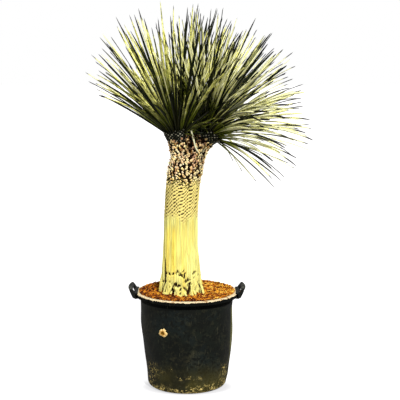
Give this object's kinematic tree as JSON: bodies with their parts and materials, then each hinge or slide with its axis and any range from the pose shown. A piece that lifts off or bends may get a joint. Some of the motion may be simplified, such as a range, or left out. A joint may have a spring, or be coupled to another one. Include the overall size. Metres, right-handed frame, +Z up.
{
  "type": "potted beaked yucca",
  "caption": "Potted beaked yucca: a forked fibrous trunk bears round crowns of stiff narrow leaves and stands in a black nursery tub with handles, soil and bark mulch.",
  "frame": {"origin": "middle of the tub's flat underside, on the ground", "axes": "+Z up along the trunk, +X from the left handle to the right handle, +Y away from the viewer of the picture"},
  "size_m": [0.9637, 0.8915, 1.7077],
  "materials": {
    "black_plastic": "satin, dusty and scuffed, with a pale worn rim",
    "handle_plastic": "satin",
    "potting_soil": "matte, crumbly",
    "bark_chips": "matte, rough",
    "fibrous_trunk": "matte, fibrous, with a net of leaf scars above",
    "leaf": "satin, waxy, with pale edges"
  },
  "bodies": {
    "root": {"tub": "black_plastic", "left_handle": "handle_plastic", "right_handle": "handle_plastic", "potting_soil": "potting_soil", "bark_mulch": "bark_chips", "trunk": "fibrous_trunk", "left_crown": "leaf", "right_crown": "leaf"}
  },
  "joints": []
}
